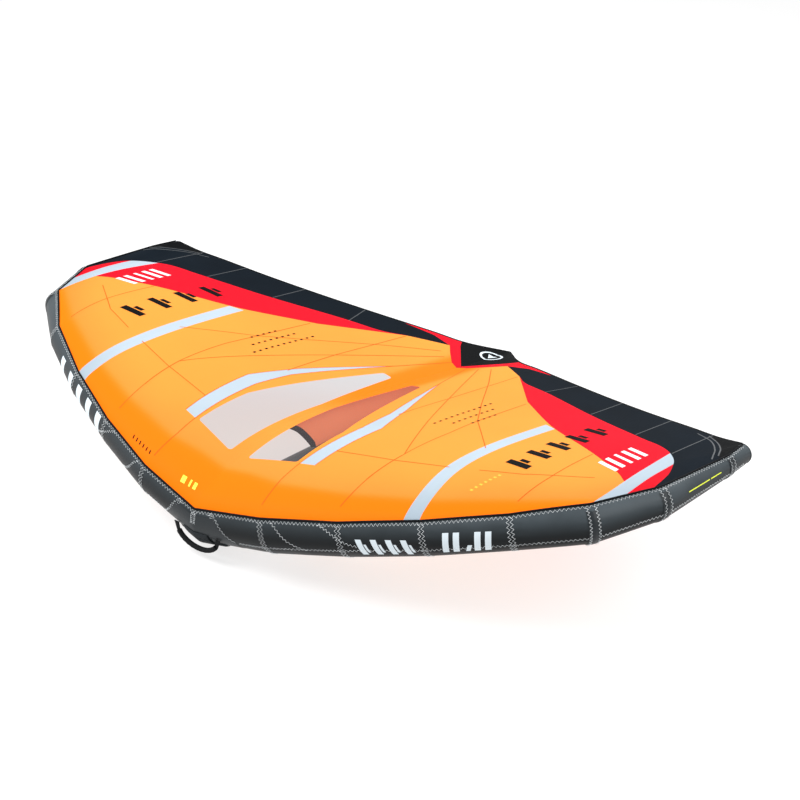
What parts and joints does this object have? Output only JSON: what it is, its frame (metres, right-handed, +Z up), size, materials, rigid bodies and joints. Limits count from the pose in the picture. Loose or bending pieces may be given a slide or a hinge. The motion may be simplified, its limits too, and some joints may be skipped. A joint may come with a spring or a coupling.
{
  "type": "inflatable hand wing",
  "caption": "Inflatable hand-held wing for wind sports: curved inflated leading edge, centre strut, cloth canopy with clear windows, grab loop and two strut handles.",
  "frame": {"origin": "centre of the rear handle's grip, on the middle plane", "axes": "+X to the right tip, +Y from the leading edge to the trailing edge, +Z up"},
  "size_m": [2.9542, 1.8879, 0.5185],
  "materials": {
    "dacron_grey": "woven polyester, matt",
    "bladder_film": "clear polyurethane film",
    "scuff_band": "tight reinforced weave, matt",
    "foam_pad": "soft textured foam",
    "ripstop_orange": "light translucent ripstop",
    "ripstop_white": "light translucent ripstop",
    "ripstop_red": "light translucent ripstop",
    "ripstop_black": "ribbed woven polyester",
    "window_film": "clear flexible film, faintly tinted",
    "patch_black": "coated woven cloth, matt",
    "webbing": "woven webbing",
    "grip_foam": "textured soft grip",
    "valve_plastic": "moulded, satin",
    "valve_accent": "moulded, satin",
    "hose_tube": "soft translucent tube"
  },
  "bodies": {
    "wing": {"le_tube_left_1": "dacron_grey", "le_tube_left_2": "dacron_grey", "le_tube_left_3": "dacron_grey", "le_tube_left_4": "dacron_grey", "le_tube_left_5": "dacron_grey", "le_tube_left_6": "dacron_grey", "le_tube_left_7": "dacron_grey", "le_tube_right_1": "dacron_grey", "le_tube_right_2": "dacron_grey", "le_tube_right_3": "dacron_grey", "le_tube_right_4": "dacron_grey", "le_tube_right_5": "dacron_grey", "le_tube_right_6": "dacron_grey", "le_tube_right_7": "dacron_grey", "le_tip_caps": "dacron_grey", "strut_sleeve": "dacron_grey", "strut_end_patch": "dacron_grey", "le_bladder": "bladder_film", "strut_bladder": "bladder_film", "seam_guard_bands": "scuff_band", "le_centre_patch": "scuff_band", "canopy_piping": "scuff_band", "loop_handle_pad": "foam_pad", "centre_panel": "ripstop_orange", "inner_panel_left": "ripstop_orange", "inner_panel_right": "ripstop_orange", "outer_panel_left": "ripstop_orange", "outer_panel_right": "ripstop_orange", "flank_stripes": "ripstop_white", "outer_stripes": "ripstop_white", "tip_stripes": "ripstop_white", "red_panel_left": "ripstop_red", "red_panel_right": "ripstop_red", "red_tip_corners": "ripstop_red", "te_patch_trim": "ripstop_red", "fin_panel": "ripstop_red", "te_band_left": "ripstop_black", "te_band_right": "ripstop_black", "te_hem": "ripstop_black", "fin_hem": "ripstop_black", "window_left": "window_film", "window_right": "window_film", "tip_patches": "patch_black", "te_patch": "patch_black", "handle_base_patches": "patch_black", "valve_base": "valve_plastic", "one_pump_ports": "valve_plastic", "hose_clip_base": "valve_plastic", "one_pump_hose": "hose_tube"},
    "loop_handle": {"loop_handle": "grip_foam"},
    "front_handle": {"front_handle_straps": "webbing", "front_handle_grip": "grip_foam"},
    "rear_handle": {"rear_handle_straps": "webbing", "rear_handle_grip": "grip_foam"},
    "leash_loop": {"leash_loop": "webbing"},
    "valve_insert": {"valve_insert": "valve_accent"},
    "valve_cap": {"valve_cap": "valve_accent"},
    "valve_flap": {"valve_flap": "hose_tube"},
    "hose_clip_lever": {"hose_clip_lever": "valve_accent"}
  },
  "joints": [
    {"name": "loop_handle_swing", "type": "hinge", "parent": "wing", "child": "loop_handle", "pos_m": [0, -1.006, 0.0855], "axis": [1, 0, 0], "range_deg": [-110, 2]},
    {"name": "front_handle_swing", "type": "hinge", "parent": "wing", "child": "front_handle", "pos_m": [0, -0.505, 0.0729], "axis": [0, 1, 0], "range_deg": [-45, 45]},
    {"name": "rear_handle_swing", "type": "hinge", "parent": "wing", "child": "rear_handle", "pos_m": [0, 0, 0.075], "axis": [0, 1, 0], "range_deg": [-45, 45]},
    {"name": "leash_loop_swing", "type": "hinge", "parent": "wing", "child": "leash_loop", "pos_m": [0, -0.715, 0.074], "axis": [1, 0, 0], "range_deg": [-70, 70]},
    {"name": "valve_insert_turn", "type": "hinge", "parent": "wing", "child": "valve_insert", "pos_m": [-0.20117, -0.79747, 0.11417], "axis": [-0.0105, 0.871, -0.4912], "range_deg": [0, 90]},
    {"name": "valve_cap_hinge", "type": "hinge", "parent": "wing", "child": "valve_cap", "pos_m": [-0.20743, -0.80334, 0.08436], "axis": [-0.9779, 0.0937, 0.1871], "range_deg": [0, 170]},
    {"name": "valve_flap_hinge", "type": "hinge", "parent": "valve_insert", "child": "valve_flap", "pos_m": [-0.20376, -0.81214, 0.10796], "axis": [0.9779, -0.0937, -0.1871], "range_deg": [0, 60]},
    {"name": "hose_clip_lever_hinge", "type": "hinge", "parent": "wing", "child": "hose_clip_lever", "pos_m": [0.0916, -0.716, 0.1485], "axis": [0, -1, 0], "range_deg": [0, 100]}
  ]
}
